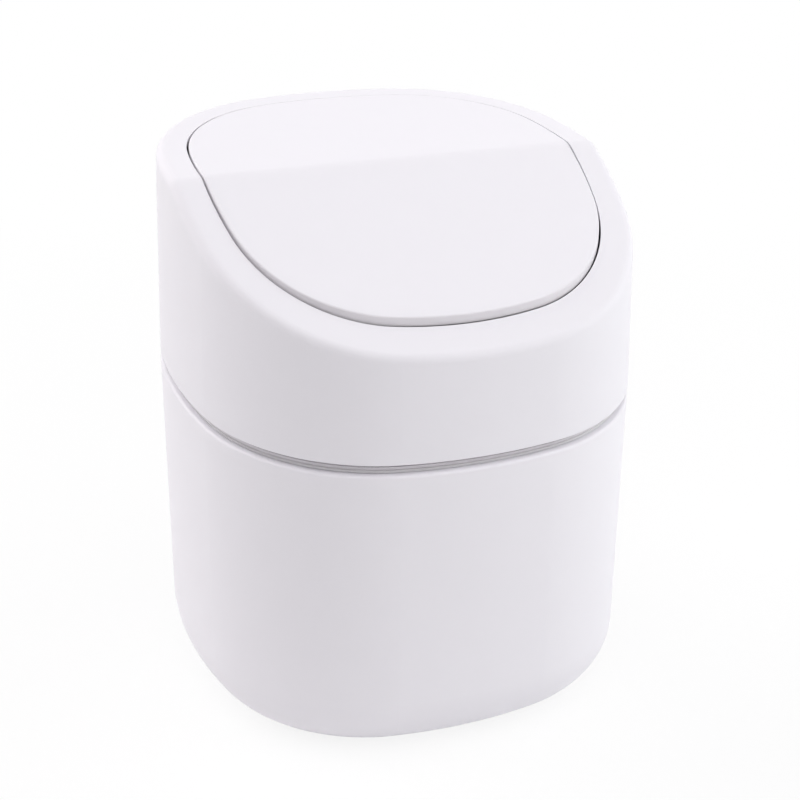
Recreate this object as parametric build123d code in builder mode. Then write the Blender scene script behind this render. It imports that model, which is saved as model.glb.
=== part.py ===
from build123d import *
import os
from math import cos, radians, sin, sqrt, tan

# Countertop trash can with a swing lid, in millimetres.
# +Z is up, +X runs along the lid's pivot, the front is -Y. The origin is the centre of the base.

# ---------------------------------------------------------------- overall shape
overall_width = 130.0  # at the seam, left to right and front to back
overall_height = 160.0  # to the cover's rear edge
plan_corner_radius = 50.5  # corners of the rounded square plan
plan_side_radius = 127.0  # the bow of its four sides
front_slope = 28.4  # degrees, how steeply the front half of the top falls
rear_rise = 6.1  # degrees, how the rear half climbs towards the back
seam_rise = 5.0  # degrees, how the seam below the cover climbs towards the back
fold_radius = 7.0  # rounding of the fold between the two halves

# ---------------------------------------------------------------- bucket
bucket_height = 92.7  # at its middle, for the rim climbs with the seam
bucket_wall = 2.6
bucket_floor = 2.2
bucket_draft = 0.6  # degrees
bottom_edge_radius = 17.8
rim_edge_radius = 0.8
foot_width = 4.0  # the ring that the bucket stands on
foot_height = 0.8

# ---------------------------------------------------------------- bag ring
ring_flange_inset = 1.8  # from the outer wall to the flange's edge
ring_flange_thickness = 1.0
ring_flange_edge_radius = 0.35
ring_wall = 1.2
ring_skirt_depth = 12.0
ring_collar_height = 4.0
bag_clearance = 0.5  # room for the bag between skirt and bucket

# ---------------------------------------------------------------- cover
seam_gap = 3.2  # from the bucket's rim to the cover's lower edge
cover_wall = 2.6
cover_roof = 2.2
cover_draft = 1.3  # degrees
cover_edge_radius = 2.6
seam_edge_radius = 0.2
lip_inset = 1.8  # from the outer wall to the locating lip
lip_wall = 2.0
lip_groove_height = 1.3  # a groove runs round the lip below the cover's lower edge
lip_groove_depth = 1.0
lip_edge_radius = 0.3
lip_rise = 5.0  # how far the lip runs up inside the wall
collar_clearance = 0.3  # between the lip and the bag ring's collar
rim_width = 9.9  # the frame of the cover that shows round the lid
opening_edge = 1.2  # thickness of the opening's edge
opening_relief = 0.5  # step cut under that edge

# ---------------------------------------------------------------- swing lid
lid_gap = 0.6  # between the lid's edge and the opening
lid_front_slope = 26.9  # degrees, less than the cover's, so the lid's front edge stands clear
lid_proud = 0.3  # how far the lid stands above the cover at the fold and the rear
lid_wall = 2.2
lid_edge_radius = 0.5
skirt_setback = 4.4  # from the lid's edge to its skirt
skirt_wall = 2.0
skirt_lip = 1.2  # what is left of the skirt beside the liner
skirt_depth = 9.4  # below the cover's surface
liner_thickness = 1.2
liner_clearance = 0.15

# ---------------------------------------------------------------- counterweight
weight_length = 30.0
weight_width = 8.0
weight_thickness = 2.5
weight_clearance = 0.1  # in its pocket on the liner
weight_rib_thickness = 1.2
weight_rib_height = 2.0
plastic_density = 1.10e-3  # g/mm3
steel_density = 7.85e-3  # g/mm3

# ---------------------------------------------------------------- pivots
pivot_depth = 4.8  # below the fold
pin_radius = 1.5
pin_clearance = 0.05  # running fit in the bearing
pin_seat = 6.0  # length pressed into the lid
pin_end_gap = 0.4
boss_half_width = 2.7
bearing_gap = 1.0  # from the opening's edge to the bearing
bearing_length = 3.6
bracket_half_width = 4.2
bracket_drop = 5.0  # below the pivot axis
bracket_bite = 1.0  # how far the brackets reach into the cover's wall and roof
clip_clearance = 0.05
clip_saddle_drop = 0.9  # from the axis down to the ends of the clip's saddle
clip_head = 1.2

margin = 3.0  # how far a cutting tool runs past what it cuts

# ---------------------------------------------------------------- sizes that follow
half_width = overall_width / 2
side_offset = plan_side_radius - half_width
radius_step = plan_side_radius - plan_corner_radius
corner_centre = (sqrt(2 * radius_step**2 - side_offset**2) - side_offset) / 2
tangent_x = (corner_centre + side_offset) / radius_step
tangent_y = corner_centre / radius_step

flange_low = bucket_height
flange_top = flange_low + ring_flange_thickness
cover_low = bucket_height + seam_gap
rear_lean = (overall_height - cover_low) * tan(radians(cover_draft))
rear_reach = half_width - rear_lean - cover_edge_radius
rear_rounding = cover_edge_radius * (1 / cos(radians(rear_rise)) - 1)
fold_height = overall_height - rear_reach * tan(radians(rear_rise)) + rear_rounding
pivot_height = fold_height - pivot_depth
seam_reach = half_width * tan(radians(seam_rise)) + margin  # how far the seam goes up and down
foot_inset = bucket_height * tan(radians(bucket_draft)) + bottom_edge_radius + foot_width
ring_skirt_inset = bucket_wall + bag_clearance
ring_collar_inset = lip_inset + lip_wall + collar_clearance
ring_inner_inset = ring_collar_inset + ring_wall

lid_inset = rim_width + lid_gap
skirt_inset = lid_inset + skirt_setback
liner_inset = skirt_inset + skirt_lip + liner_clearance
liner_depth = skirt_depth - liner_thickness
plate_depth = lid_wall - lid_proud
pocket_length = weight_length + 2 * weight_clearance
pocket_width = weight_width + 2 * weight_clearance
frame_length = pocket_length + 2 * weight_rib_thickness
frame_width = pocket_width + 2 * weight_rib_thickness

bearing_inner = half_width - rim_width + bearing_gap
bearing_outer = bearing_inner + bearing_length
bearing_radius = pin_radius + pin_clearance
bracket_low = pivot_height - bracket_drop
wall_lean = (pivot_height - cover_low) * tan(radians(cover_draft))
bracket_outer = half_width - wall_lean - cover_wall + bracket_bite
boss_outer = half_width - skirt_inset
boss_inner = boss_outer - pin_seat
clip_low = bracket_low - clip_head


def plan_sketch(height, inset):
    """The rounded square plan at a height, moved in from the outer wall by an inset."""
    side_radius = plan_side_radius - inset
    corner = corner_centre + (plan_corner_radius - inset) / sqrt(2)
    near = side_radius * tangent_x - side_offset
    far = side_radius * tangent_y
    with BuildSketch(Plane.XY.offset(height)) as plan:
        with BuildLine():
            for turn in range(0, 360, 90):
                side_start = Vector(near, -far).rotate(Axis.Z, turn)
                side_middle = Vector(half_width - inset, 0).rotate(Axis.Z, turn)
                side_end = Vector(near, far).rotate(Axis.Z, turn)
                corner_middle = Vector(corner, corner).rotate(Axis.Z, turn)
                corner_end = Vector(far, near).rotate(Axis.Z, turn)
                ThreePointArc(side_start, side_middle, side_end)
                ThreePointArc(side_end, corner_middle, corner_end)
        make_face()
    return plan.sketch


def roof_plane(slope, depth):
    """A plane along one half of the top, sunk below the cover's surface by a depth."""
    normal = Vector(0, -sin(radians(slope)), cos(radians(slope)))
    return Plane(origin=Vector(0, 0, fold_height) - normal * depth, x_dir=(1, 0, 0), z_dir=normal)


def seam_plane(height):
    """A plane parallel to the seam, at a height over the centre of the base."""
    normal = Vector(0, -sin(radians(seam_rise)), cos(radians(seam_rise)))
    return Plane(origin=(0, 0, height), x_dir=(1, 0, 0), z_dir=normal)


across_seam = Axis(seam_plane(0).origin, seam_plane(0).z_dir)


def roofed_block(low, inset, depth, draft=0.0, edge_radius=0.0, front=front_slope):
    """A prism on the plan from a low height up to both halves of the roof, with the fold rounded."""
    with BuildPart() as block:
        extrude(plan_sketch(low, inset), amount=overall_height + margin - low, taper=draft)
        for slope in (front, rear_rise):
            split(bisect_by=roof_plane(slope, depth), keep=Keep.BOTTOM)
        if fold_radius > depth:
            fillet(block.edges().filter_by(Axis.X).sort_by(Axis.Z)[-1], fold_radius - depth)
        if edge_radius > 0:
            curved = block.edges().filter_by(GeomType.LINE, reverse=True)
            fillet(curved - block.edges().group_by(Axis.Z)[0], edge_radius)
    return block.part


def bent_layer(inset, top_depth, bottom_depth, edge_radius=0.0, front=front_slope):
    """A plate on the plan that follows both halves of the roof, between two depths."""
    with BuildPart() as layer:
        add(roofed_block(cover_low, inset, top_depth, edge_radius=edge_radius, front=front))
        add(roofed_block(cover_low - margin, inset - margin, bottom_depth, front=front), mode=Mode.SUBTRACT)
    return layer.part


def lid_layer(inset, top_depth, bottom_depth, edge_radius=0.0):
    """A plate of the lid, whose front half is less steep than the cover's."""
    return bent_layer(inset, top_depth, bottom_depth, edge_radius, lid_front_slope)


def tub_block(low, inset, bottom_radius):
    """A block on the plan, narrowing from above the bucket's rim down to a rounded bottom."""
    high = bucket_height + seam_reach
    flare = seam_reach * tan(radians(bucket_draft))
    with BuildPart() as tub:
        extrude(plan_sketch(high, inset - flare), amount=low - high, taper=bucket_draft)
        fillet(tub.edges().group_by(Axis.Z)[0], bottom_radius)
    return tub.part


def plan_band(low, high, outer_inset, inner_inset):
    """An upright wall on the plan between two insets, cut along the seam at two heights."""
    start = low - seam_reach
    rise = high - low + 2 * seam_reach
    with BuildPart() as band:
        extrude(plan_sketch(start, outer_inset), amount=rise)
        extrude(plan_sketch(start, inner_inset), amount=rise, mode=Mode.SUBTRACT)
        split(bisect_by=seam_plane(low), keep=Keep.TOP)
        split(bisect_by=seam_plane(high), keep=Keep.BOTTOM)
    return band.part


def locating_lip():
    """The cover's lip, which stands on the bag ring, with the groove that shows in the seam."""
    with BuildPart() as lip:
        add(plan_band(flange_top, cover_low + lip_rise, lip_inset, lip_inset + lip_wall))
        foot = lip.faces().sort_by(across_seam)[0]
        fillet(foot.outer_wire().edges(), lip_edge_radius)
        groove_low = cover_low - lip_groove_height
        add(plan_band(groove_low, cover_low, 0, lip_inset + lip_groove_depth), mode=Mode.SUBTRACT)
    return lip.part


def side_box(side, inner, outer, half_depth, low, high):
    """A box on the left (-1) or the right (1), between two widths and two heights."""
    with BuildPart() as box:
        with BuildSketch(Plane.YZ.offset(side * inner)):
            with Locations((0, low)):
                Rectangle(2 * half_depth, high - low, align=(Align.CENTER, Align.MIN))
        extrude(amount=side * (outer - inner))
    return box.part


def hanging_box(side, inner, outer, half_depth, low, depth):
    """A box on one side that hangs from the roof, cut off at a depth below its surface."""
    with BuildPart() as box:
        add(side_box(side, inner, outer, half_depth, low, overall_height))
        for slope in (front_slope, rear_rise):
            split(bisect_by=roof_plane(slope, depth), keep=Keep.BOTTOM)
    return box.part


def pivot_cylinder(side, inner, outer, radius):
    """A cylinder on the pivot axis, between two widths on one side."""
    with BuildPart() as cylinder:
        with BuildSketch(Plane.YZ.offset(side * inner)):
            with Locations((0, pivot_height)):
                Circle(radius)
        extrude(amount=side * (outer - inner))
    return cylinder.part


# ---------------------------------------------------------------- bucket
with BuildPart() as bucket:
    add(tub_block(0, 0, bottom_edge_radius))
    split(bisect_by=seam_plane(bucket_height), keep=Keep.BOTTOM)
    fillet(bucket.edges().group_by(across_seam)[-1], rim_edge_radius)
    add(tub_block(bucket_floor, bucket_wall, bottom_edge_radius - bucket_wall), mode=Mode.SUBTRACT)
    extrude(plan_sketch(0, foot_inset), amount=foot_height, mode=Mode.SUBTRACT)

# ---------------------------------------------------------------- bag ring, which clamps the bag's mouth
with BuildPart() as bag_ring:
    add(plan_band(flange_low, flange_top, ring_flange_inset, ring_inner_inset))
    sides = bag_ring.faces().sort_by(across_seam)
    rims = sides[0].outer_wire().edges() + sides[-1].outer_wire().edges()
    fillet(rims, ring_flange_edge_radius)
    add(plan_band(flange_low - ring_skirt_depth, flange_low, ring_skirt_inset, ring_skirt_inset + ring_wall))
    add(plan_band(flange_top, flange_top + ring_collar_height, ring_collar_inset, ring_inner_inset))

# ---------------------------------------------------------------- cover
with BuildPart() as cover:
    start = cover_low - seam_reach
    flare = seam_reach * tan(radians(cover_draft))
    add(roofed_block(start, -flare, 0, draft=cover_draft, edge_radius=cover_edge_radius))
    split(bisect_by=seam_plane(cover_low), keep=Keep.TOP)
    fillet(cover.edges().group_by(across_seam)[0], seam_edge_radius)
    add(roofed_block(start, cover_wall - flare, cover_roof, draft=cover_draft), mode=Mode.SUBTRACT)
    add(locating_lip())
    add(bent_layer(rim_width, -margin, cover_roof + margin), mode=Mode.SUBTRACT)
    add(bent_layer(rim_width - opening_relief, opening_edge, cover_roof + margin), mode=Mode.SUBTRACT)

    # A bearing on each side: a bracket with a slot from below that ends round the pin.
    for side in (-1, 1):
        add(hanging_box(side, bearing_inner, bracket_outer, bracket_half_width, bracket_low, bracket_bite))
        add(
            side_box(side, bearing_inner, bearing_outer, bearing_radius, bracket_low, pivot_height),
            mode=Mode.SUBTRACT,
        )
        add(pivot_cylinder(side, bearing_inner, bearing_outer, bearing_radius), mode=Mode.SUBTRACT)

# ---------------------------------------------------------------- swing lid
with BuildPart() as lid:
    add(lid_layer(lid_inset, -lid_proud, plate_depth, edge_radius=lid_edge_radius))
    add(lid_layer(skirt_inset, 0, skirt_depth))
    add(lid_layer(skirt_inset + skirt_wall, plate_depth, skirt_depth + margin), mode=Mode.SUBTRACT)
    add(lid_layer(skirt_inset + skirt_lip, liner_depth, skirt_depth + margin), mode=Mode.SUBTRACT)

    # A boss on each side holds the pin, which leaves below the lid's edge.
    for side in (-1, 1):
        boss_low = pivot_height - boss_half_width
        add(hanging_box(side, boss_inner, boss_outer - skirt_wall / 2, boss_half_width, boss_low, 0))
        add(pivot_cylinder(side, boss_inner, boss_outer + margin, pin_radius), mode=Mode.SUBTRACT)

# ---------------------------------------------------------------- where the counterweight balances the lid
with BuildPart() as plain_liner:
    add(lid_layer(liner_inset, liner_depth, skirt_depth))

weight_mass = weight_length * weight_width * weight_thickness * steel_density
frame_area = frame_length * frame_width - pocket_length * pocket_width
frame_mass = frame_area * weight_rib_height * plastic_density
balance = sum(
    piece.part.volume * plastic_density * piece.part.center(CenterOf.MASS).Y for piece in (lid, plain_liner)
)
for mass, height in ((weight_mass, weight_thickness), (frame_mass, weight_rib_height)):
    balance += mass * (liner_depth - height / 2) * sin(radians(rear_rise))
weight_place = -balance / (weight_mass + frame_mass) / cos(radians(rear_rise))

# ---------------------------------------------------------------- lid liner, with the weight's pocket
with BuildPart() as lid_liner:
    add(plain_liner.part)
    with BuildSketch(roof_plane(rear_rise, liner_depth)):
        with Locations((0, weight_place)):
            Rectangle(frame_length, frame_width)
            Rectangle(pocket_length, pocket_width, mode=Mode.SUBTRACT)
    extrude(amount=weight_rib_height)

# ---------------------------------------------------------------- counterweight
with BuildPart() as counterweight:
    with BuildSketch(roof_plane(rear_rise, liner_depth)):
        with Locations((0, weight_place)):
            Rectangle(weight_length, weight_width)
    extrude(amount=weight_thickness)

parts = {
    "bucket": bucket,
    "bag_ring": bag_ring,
    "cover": cover,
    "lid": lid,
    "lid_liner": lid_liner,
    "counterweight": counterweight,
}

# ---------------------------------------------------------------- pivot pins, and the clips that hold them up
for name, side in (("left", -1), ("right", 1)):
    with BuildPart() as pin:
        add(pivot_cylinder(side, boss_inner, bearing_outer - pin_end_gap, pin_radius))

    with BuildPart() as clip:
        stem_outer = bearing_outer - clip_clearance
        stem_half_width = bearing_radius - clip_clearance
        stem_high = pivot_height - clip_saddle_drop
        add(side_box(side, bearing_inner, stem_outer, stem_half_width, bracket_low, stem_high))
        add(side_box(side, bearing_inner, bearing_outer, bracket_half_width, clip_low, bracket_low))
        add(pivot_cylinder(side, bearing_inner, bearing_outer, bearing_radius), mode=Mode.SUBTRACT)

    parts[f"{name}_pivot_pin"] = pin
    parts[f"{name}_pivot_clip"] = clip

os.makedirs("parts", exist_ok=True)
for name, piece in parts.items():
    piece.part.label = name
    export_step(piece.part, f"parts/{name}.step")

print("pivot axis at height", round(pivot_height, 3))
print("counterweight behind the fold by", round(weight_place, 3))
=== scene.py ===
# %% [markdown]
# # A small swing-lid trash can
# The can is a bucket, a bag ring and a lift-off cover, and a bent lid that swings in the cover.
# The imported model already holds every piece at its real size. This lesson gives the pieces their
# finish, lights them softly and points a camera at them.

import math

import bmesh
import bpy
from mathutils import Matrix, Vector

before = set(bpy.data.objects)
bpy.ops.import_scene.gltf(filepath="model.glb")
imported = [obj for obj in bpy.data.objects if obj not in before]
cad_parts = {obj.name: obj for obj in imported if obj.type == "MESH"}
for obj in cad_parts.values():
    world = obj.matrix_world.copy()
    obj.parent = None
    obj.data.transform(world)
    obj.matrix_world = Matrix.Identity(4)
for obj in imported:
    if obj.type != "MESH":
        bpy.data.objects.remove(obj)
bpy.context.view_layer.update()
print("pieces:", ", ".join(sorted(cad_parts)))

# %% [markdown]
# ## The camera
# A long lens from a little above and from the left of the front shows the swing lid, its gap and
# the seam at once. The camera is placed by where it aims, the side and the height that it looks
# from, its roll and its distance, and its lens is given in pixels of the picture's width.

# %% Place the camera
IMAGE_WIDTH_PX = 800
FOCAL_LENGTH_PX = 1716.0
SENSOR_WIDTH_MM = 36.0
camera_side = math.radians(-22.19)  # from the front, to the left
camera_height = math.radians(22.45)  # above the horizon
camera_roll = math.radians(0.47)
camera_distance = 0.5059
camera_aim = Vector((0.0024, -0.001, 0.081))

camera_data = bpy.data.cameras.new("camera")
camera_data.sensor_width = SENSOR_WIDTH_MM
camera_data.lens = FOCAL_LENGTH_PX * SENSOR_WIDTH_MM / IMAGE_WIDTH_PX
camera = bpy.data.objects.new("camera", camera_data)
bpy.context.collection.objects.link(camera)
bpy.context.scene.camera = camera


def pointing(side, height):
    """A unit vector, by its angle from the front and its angle above the horizon, in radians."""
    flat = math.cos(height)
    return Vector((math.sin(side) * flat, -math.cos(side) * flat, math.sin(height)))


def looking_back(aim, towards, distance):
    """The place and turn of a lamp or camera that stands off in a direction and looks at its aim."""
    turn = towards.to_track_quat("Z", "Y").to_matrix().to_4x4()
    return Matrix.Translation(aim + towards * distance) @ turn


camera.matrix_world = looking_back(
    camera_aim, pointing(camera_side, camera_height), camera_distance
) @ Matrix.Rotation(camera_roll, 4, "Z")
print("lens", round(camera_data.lens, 1), "mm at", tuple(round(v, 3) for v in camera.location))

# %% [markdown]
# ## A shorthand for shader maths
# A material is a graph of nodes, and written out in full each sum in it takes several lines. Here
# one small class wraps a socket, so that a sum of two wires adds its own Math node. Its one
# method adds any other node: first the settings, then the values or the wires of its sockets.


# %% Write the shorthand
class Wire:
    """An output socket that adds, subtracts and multiplies as a number does."""

    def __init__(self, tree, socket=None):
        self.tree = tree
        self.socket = socket

    def node(self, kind, settings=None, sockets=None, output=0):
        made = self.tree.nodes.new(kind)
        for name, value in (settings or {}).items():
            setattr(made, name, value)
        for name, value in (sockets or {}).items():
            if isinstance(value, Wire):
                self.tree.links.new(value.socket, made.inputs[name])
            else:
                made.inputs[name].default_value = value
        return Wire(self.tree, made.outputs[output] if made.outputs else None)

    def maths(self, operation, *values):
        return self.node("ShaderNodeMath", {"operation": operation}, dict(enumerate(values)))

    def __add__(self, other):
        return self.maths("ADD", self, other)

    def __sub__(self, other):
        return self.maths("SUBTRACT", self, other)

    def __mul__(self, other):
        return self.maths("MULTIPLY", self, other)

    __radd__ = __add__
    __rmul__ = __mul__


def blank_tree(owner):
    """Empty the node tree of a material or a world, and return the first wire to work from."""
    owner.use_nodes = True
    owner.node_tree.nodes.clear()
    return Wire(owner.node_tree)


def object_place(wire):
    """The place on the object itself, in metres."""
    return wire.node("ShaderNodeTexCoord", output="Object")


print("shader shorthand ready")

# %% [markdown]
# ## White ground, soft room
# The can stands on a plain white floor. A lit white surface alone never fills the picture evenly,
# and turning the lamps up would burn out the can. So the rays that draw the picture see the floor
# mostly as plain white at strength 1, with enough of the real lit floor left for the can's shadow.
# Away from the can there is no shadow to keep, so the floor turns wholly white and no horizon shows.
# Every other ray meets the real floor, so the light that it throws back up at the can is real.

# %% Lay the floor
FLOOR_WIDTH = 6.0
FLOOR_DROP = 0.00005  # keeps the floor out of the plane of the can's base
FLOOR_COLOUR = (0.95, 0.95, 0.95, 1.0)
PLAIN_WHITE = (1.0, 1.0, 1.0, 1.0)
PLAIN_STRENGTH = 1.0
NEAR_FLOOR = 0.2  # how far round the can the shadow reaches
FAR_FLOOR = 0.5  # from here on the floor is wholly white
NEAR_WHITENESS = 0.87  # share of the near floor that is drawn as plain white

floor_shape = bmesh.new()
bmesh.ops.create_grid(floor_shape, x_segments=1, y_segments=1, size=FLOOR_WIDTH / 2)
floor_mesh = bpy.data.meshes.new("floor")
floor_shape.to_mesh(floor_mesh)
floor_shape.free()
floor = bpy.data.objects.new("floor", floor_mesh)
floor.location.z = -FLOOR_DROP
bpy.context.collection.objects.link(floor)


def seen_directly(wire):
    """1 for the rays that draw the picture, straight or by way of metal, and 0 for the others."""
    straight, mirrored, passed_through = (
        wire.node("ShaderNodeLightPath", output=name)
        for name in ("Is Camera Ray", "Is Glossy Ray", "Is Transmission Ray")
    )
    return wire.maths("MAXIMUM", wire.maths("MAXIMUM", straight, mirrored), passed_through)


floor_finish = bpy.data.materials.new("white_floor")
ground = blank_tree(floor_finish)
lit_floor = ground.node("ShaderNodeBsdfDiffuse", sockets={"Color": FLOOR_COLOUR})
plain_floor = ground.node(
    "ShaderNodeEmission", sockets={"Color": PLAIN_WHITE, "Strength": PLAIN_STRENGTH}
)
from_can = ground.node(
    "ShaderNodeVectorMath", {"operation": "LENGTH"}, {0: object_place(ground)}, output="Value"
)
whiteness = ground.node(
    "ShaderNodeMapRange",
    sockets={
        "Value": from_can,
        "From Min": NEAR_FLOOR,
        "From Max": FAR_FLOOR,
        "To Min": NEAR_WHITENESS,
        "To Max": 1.0,
    },
)
floor_mix = ground.node(
    "ShaderNodeMixShader", sockets={0: seen_directly(ground) * whiteness, 1: lit_floor, 2: plain_floor}
)
ground.node("ShaderNodeOutputMaterial", sockets={"Surface": floor_mix})
floor_mesh.materials.append(floor_finish)
print("floor", FLOOR_WIDTH, "m wide")

# %% [markdown]
# ## The light
# White plastic needs broad soft light, or its shaded side turns grey and heavy. A large lamp high
# over the front lights the lid and the top. Two more, behind the left side and low on the right,
# light the walls and draw the soft shade between them, and a weak one fills the right rear. The
# low front has no lamp, so the walls that face the viewer stay a shade below the top.

# %% Hang the lamps
lamp_aim = Vector((0.0, 0.0, 0.08))  # the middle of the can


def softbox(name, side, height, distance, power, colour):
    """A square lamp, as wide as it is far away.

    The side and the height are its angles from the front and above the horizon, in degrees. The
    distance is in metres and the power in watts.
    """
    lamp_data = bpy.data.lights.new(name, "AREA")
    lamp_data.shape = "SQUARE"
    lamp_data.size = distance
    lamp_data.energy = power
    lamp_data.color = colour
    lamp = bpy.data.objects.new(name, lamp_data)
    bpy.context.collection.objects.link(lamp)
    towards = pointing(math.radians(side), math.radians(height))
    lamp.matrix_world = looking_back(lamp_aim, towards, distance)
    print(name, power, "W")


softbox("front_softbox", -22, 65, 2.5, 43.8, (0.985, 0.972, 0.988))
softbox("left_softbox", -140, 30, 2.5, 46.8, (1.0, 0.98, 0.98))
softbox("right_softbox", 70, 24, 1.25, 9.3, (0.98, 1.0, 1.0))
softbox("rear_softbox", 125, 35, 2.5, 6.0, (0.95, 1.0, 1.0))

# %% [markdown]
# ## The fill
# The world adds the trace of even light that a room throws back. To the camera, and in metal, it
# is the same plain white as the floor.

# %% Fill with the world
FILL_COLOUR = (1.0, 0.78, 0.86, 1.0)
FILL_STRENGTH = 0.035

world = bpy.data.worlds.new("studio")
bpy.context.scene.world = world
room = blank_tree(world)
room_fill = room.node("ShaderNodeBackground", sockets={"Color": FILL_COLOUR, "Strength": FILL_STRENGTH})
plain_room = room.node("ShaderNodeBackground", sockets={"Color": PLAIN_WHITE, "Strength": PLAIN_STRENGTH})
room_mix = room.node("ShaderNodeMixShader", sockets={0: seen_directly(room), 1: room_fill, 2: plain_room})
room.node("ShaderNodeOutputWorld", sockets={"Surface": room_mix})
print("fill", FILL_STRENGTH)

# %% [markdown]
# ## Colours as written
# The standard view has no film curve of its own, so a strength of 1 comes out as white and a
# colour that is lit at a plain level comes out about as it is written.

# %% Choose the view
bpy.context.scene.view_settings.view_transform = "Standard"
print("view", bpy.context.scene.view_settings.view_transform)

# %% [markdown]
# ## Matt moulded plastic
# The bucket, the cover and the lid are moulded in one white plastic, in moulds whose steel was
# spark-eroded to a fine even grain. Three things give such a surface away up close: the grain,
# a fraction of a millimetre across and a few thousandths high; a very slight waviness where the
# plastic shrank as it cooled; and small changes in tone and in dullness. Each is a noise in the
# pieces' own coordinates, so it stays at its real size and goes with the piece. The bucket is painted
# a trace lighter than the cover and the lid, as painted light for the floor's bounce on the lower part.

# %% Finish the shells
SHELL_COLOURS = ((0.885, 0.872, 0.912), (0.9, 0.888, 0.925))
# painted light: the bucket is drawn a trace lighter than the cover and the lid, for the floor's bounce
BOUNCE_LIT_BUCKET_COLOURS = ((0.9, 0.886, 0.926), (0.915, 0.902, 0.939))
PLASTIC_IOR = 1.48
GRAIN_SIZE = 0.00028
GRAIN_HEIGHT = 0.000006
WAVE_SIZE = 0.022
WAVE_HEIGHT = 0.00003
CLOUD_SIZE = 0.009
CLOUD_TONE = 0.7  # how much of the change in tone is the clouds', and how much is the grain's
GRAIN_TONE = 0.3
LEAST_DULLNESS = 0.58  # the roughness where neither clouds nor grain add to it
CLOUD_DULLNESS = 0.1
GRAIN_DULLNESS = 0.06


def speckle(place, size, detail=2.0):
    """Soft noise between 0 and 1, whose spots are about a size across, in metres."""
    return place.node(
        "ShaderNodeTexNoise", sockets={"Vector": place, "Scale": 1.0 / size, "Detail": detail}, output="Fac"
    )


def blend(share, *ends):
    """The first colour where the share is 0 and the second where it is 1, each a wire or three numbers."""
    first, second = (end if isinstance(end, Wire) else (*end, 1.0) for end in ends)
    return share.node("ShaderNodeMix", {"data_type": "RGBA"}, {0: share, 6: first, 7: second}, output=2)


def ramp(value, start, end):
    """0 as far as the start and 1 from the end on, with a straight line between them."""
    return value.node("ShaderNodeMapRange", sockets={"Value": value, "From Min": start, "From Max": end})


def relief(height, tallest, under=None):
    """A bump from a height between 0 and 1, whose peaks are so many metres tall, over another bump."""
    sockets = {"Height": height, "Strength": 1.0, "Distance": tallest}
    if under is not None:
        sockets["Normal"] = under
    return height.node("ShaderNodeBump", sockets=sockets)


def complete(colour, roughness, normal, settings):
    """Close a material's tree, from what changes over the surface and what is the same all over."""
    shader = colour.node(
        "ShaderNodeBsdfPrincipled",
        sockets={"Base Color": colour, "Roughness": roughness, "Normal": normal, **settings},
    )
    shader.node("ShaderNodeOutputMaterial", sockets={"Surface": shader})


def dress(finish, *names):
    """Give a finish to the pieces of these names."""
    for name in names:
        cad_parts[name].material_slots[0].material = finish
    print(finish.name, "on", ", ".join(names))


def untouched(place, colour):
    """The colour as it is, at any place."""
    return colour


def shell(name, colours, tint=untouched):
    """A matt white shell, whose tint turns the place on the piece and its colour into another colour."""
    finish = bpy.data.materials.new(name)
    place = object_place(blank_tree(finish))
    grain = speckle(place, GRAIN_SIZE)
    clouds = speckle(place, CLOUD_SIZE)
    waves = relief(speckle(place, WAVE_SIZE, detail=0.0), WAVE_HEIGHT)
    complete(
        tint(place, blend(clouds * CLOUD_TONE + grain * GRAIN_TONE, *colours)),
        LEAST_DULLNESS + clouds * CLOUD_DULLNESS + grain * GRAIN_DULLNESS,
        relief(grain, GRAIN_HEIGHT, under=waves),
        {"IOR": PLASTIC_IOR},
    )
    return finish


dress(shell("bounce_lit_bucket_shell", BOUNCE_LIT_BUCKET_COLOURS), "bucket")

# %% [markdown]
# ## The lid's painted edge shade
# The lid's edge, and what lies under it, are painted a shade darker than the top, as painted shade
# for the edge that faces out over the gap. The top faces up and the edge faces out, so the upward
# part of the piece's own normal tells them apart.

# %% Finish the lid
# painted shade: the lid's edge and its underside are drawn darker than the top
EDGE_SHADE_COLOUR = (0.835, 0.814, 0.845)
TOP_FACING = 0.8  # the upward part of the normal, from which on a surface counts as the top
EDGE_FACING = 0.4  # and down from which it counts as the edge


def painted_edge_shade(place, colour):
    """The colour of the top, and the painted shade on the edge and on what lies under it."""
    normal = place.node("ShaderNodeTexCoord", output="Normal")
    upward = normal.node("ShaderNodeSeparateXYZ", sockets={0: normal}, output="Z")
    return blend(ramp(upward, TOP_FACING, EDGE_FACING), colour, EDGE_SHADE_COLOUR)


dress(shell("edge_shaded_lid_shell", SHELL_COLOURS, painted_edge_shade), "lid")

# %% [markdown]
# ## The lip in the seam
# The cover's lip shows in the seam as a thin strip. It is painted a shade darker than the walls, as
# painted shade for the recess, and darkest in the two corners, under the cover's edge and on the bag
# ring, where the painted shade is deepest. The seam climbs towards the back, so the depth in it is
# measured from a plane that slopes with it.

# %% Finish the cover
# painted shade: the lip in the seam and its two corners are drawn darker than the walls
SHADED_LIP_COLOUR = (0.76, 0.74, 0.77)
CORNER_SHADE_COLOUR = (0.59, 0.56, 0.59)
SEAM_HEIGHT = 0.0959  # of the cover's lower edge, in the middle of the can
SEAM_CLIMB = 5.0  # towards the back, in degrees
SEAM_FADE = 0.0002
LIP_MIDDLE = 0.00165  # LIP_MIDDLE = 0.00165 # depth of the least shaded line, between the two corners
LEAST_SHADE_REACH = 0.0002
CORNER_REACH = 0.00045
seam_slope = math.tan(math.radians(SEAM_CLIMB))


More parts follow.
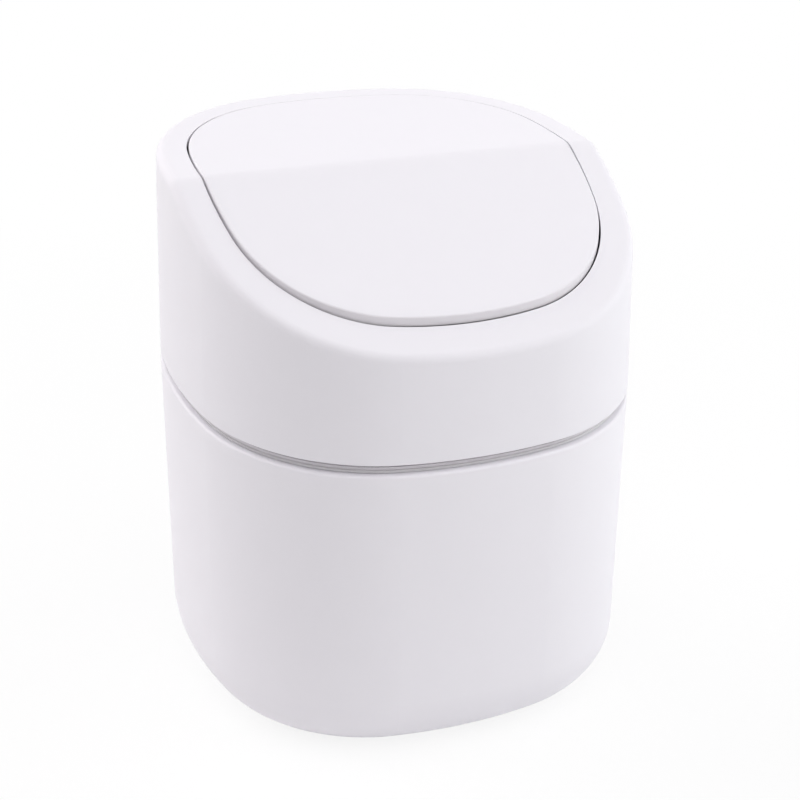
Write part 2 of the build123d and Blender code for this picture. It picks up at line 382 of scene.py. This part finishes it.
def painted_seam_shade(place, colour):
    """The colour of the walls above the seam, and the painted shade of the lip and its corners below it."""
    along, up = (place.node("ShaderNodeSeparateXYZ", sockets={0: place}, output=axis) for axis in "YZ")
    depth = SEAM_HEIGHT + along * seam_slope - up
    off_middle = depth.maths("ABSOLUTE", depth - LIP_MIDDLE)
    lip = blend(ramp(off_middle, LEAST_SHADE_REACH, CORNER_REACH), SHADED_LIP_COLOUR, CORNER_SHADE_COLOUR)
    return blend(ramp(depth, 0.0, SEAM_FADE), colour, lip)


dress(shell("seam_shaded_cover_shell", SHELL_COLOURS, painted_seam_shade), "cover")

# %% [markdown]
# ## Smooth inner plastic
# The ring that holds the bag, the lid's liner and the two clips come from plain polished moulds.
# They are painted a shade greyer than the shells, as painted shade for the seam where the ring shows,
# and they are glossier, with faint flow lines.

# %% Finish the inner pieces
# painted shade: the inner pieces are drawn greyer, which darkens the ring's strip in the seam
SHADE_GREY_INNER_COLOURS = ((0.72, 0.71, 0.725), (0.76, 0.75, 0.765))
FLOW_SIZE = 0.004
FLOW_HEIGHT = 0.000004
INNER_DULLNESS = 0.26
FLOW_DULLNESS = 0.12
FINE_DULLNESS = 0.04

inner_finish = bpy.data.materials.new("smooth_shade_grey_inner")
place = object_place(blank_tree(inner_finish))
flow = speckle(place, FLOW_SIZE, detail=4.0)
fine = speckle(place, GRAIN_SIZE)
complete(
    blend(flow, *SHADE_GREY_INNER_COLOURS),
    INNER_DULLNESS + flow * FLOW_DULLNESS + fine * FINE_DULLNESS,
    relief(flow, FLOW_HEIGHT),
    {"IOR": PLASTIC_IOR},
)
dress(inner_finish, "bag_ring", "lid_liner", "left_pivot_clip", "right_pivot_clip")

# %% [markdown]
# ## Drawn steel
# The two pins are cut from bright drawn bar and the counterweight from rolled strip. Both carry
# fine lines along their length, which runs across the can. Stretching a noise along X makes them.

# %% Finish the steel pieces
STEEL_COLOURS = ((0.5, 0.5, 0.53), (0.6, 0.6, 0.62))
LINE_WIDTH = 0.00008
LINE_STRETCH = 60.0
LINE_HEIGHT = 0.000003
STAIN_SIZE = 0.0035
LINE_TONE = 0.5
STAIN_TONE = 0.5
STEEL_DULLNESS = 0.2
LINE_DULLNESS = 0.12
STAIN_DULLNESS = 0.1

steel_finish = bpy.data.materials.new("bright_steel")
place = object_place(blank_tree(steel_finish))
drawn_out = place.node(
    "ShaderNodeVectorMath", {"operation": "MULTIPLY"}, {0: place, 1: (1.0 / LINE_STRETCH, 1.0, 1.0)}
)
lines = speckle(drawn_out, LINE_WIDTH)
stains = speckle(place, STAIN_SIZE, detail=3.0)
complete(
    blend(lines * LINE_TONE + stains * STAIN_TONE, *STEEL_COLOURS),
    STEEL_DULLNESS + lines * LINE_DULLNESS + stains * STAIN_DULLNESS,
    relief(lines, LINE_HEIGHT),
    {"Metallic": 1.0},
)
dress(steel_finish, "left_pivot_pin", "right_pivot_pin", "counterweight")
